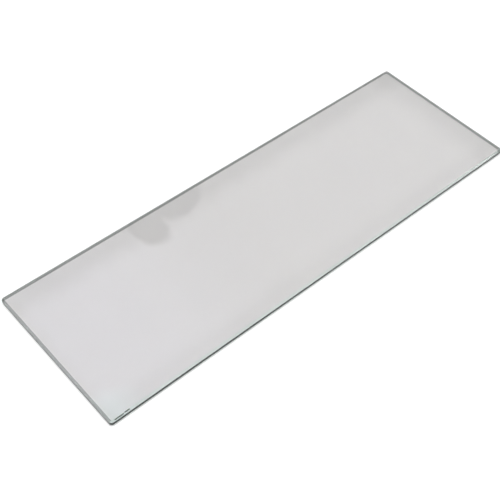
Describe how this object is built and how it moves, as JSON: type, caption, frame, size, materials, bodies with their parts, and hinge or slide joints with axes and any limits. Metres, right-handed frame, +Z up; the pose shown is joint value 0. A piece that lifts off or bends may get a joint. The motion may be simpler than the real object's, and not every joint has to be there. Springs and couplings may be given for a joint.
{
  "type": "glass refrigerator shelf",
  "caption": "Flat rectangular refrigerator shelf of clear toughened glass, with dubbed corners and a flat ground edge with arrises.",
  "frame": {"origin": "middle of the underside, in the plane that the shelf rests on", "axes": "+X along the long front edge, +Y from the front edge to the rear edge, +Z up through the thickness"},
  "size_m": [0.45, 0.149, 0.006],
  "materials": {
    "float_glass": "clear fire-polished faces with a faint green tint, edges ground to a fine satin",
    "fired_enamel": "dark grey-green glass enamel, printed thin and fired on"
  },
  "bodies": {
    "root": {"glass_shelf": "float_glass"}
  },
  "joints": []
}
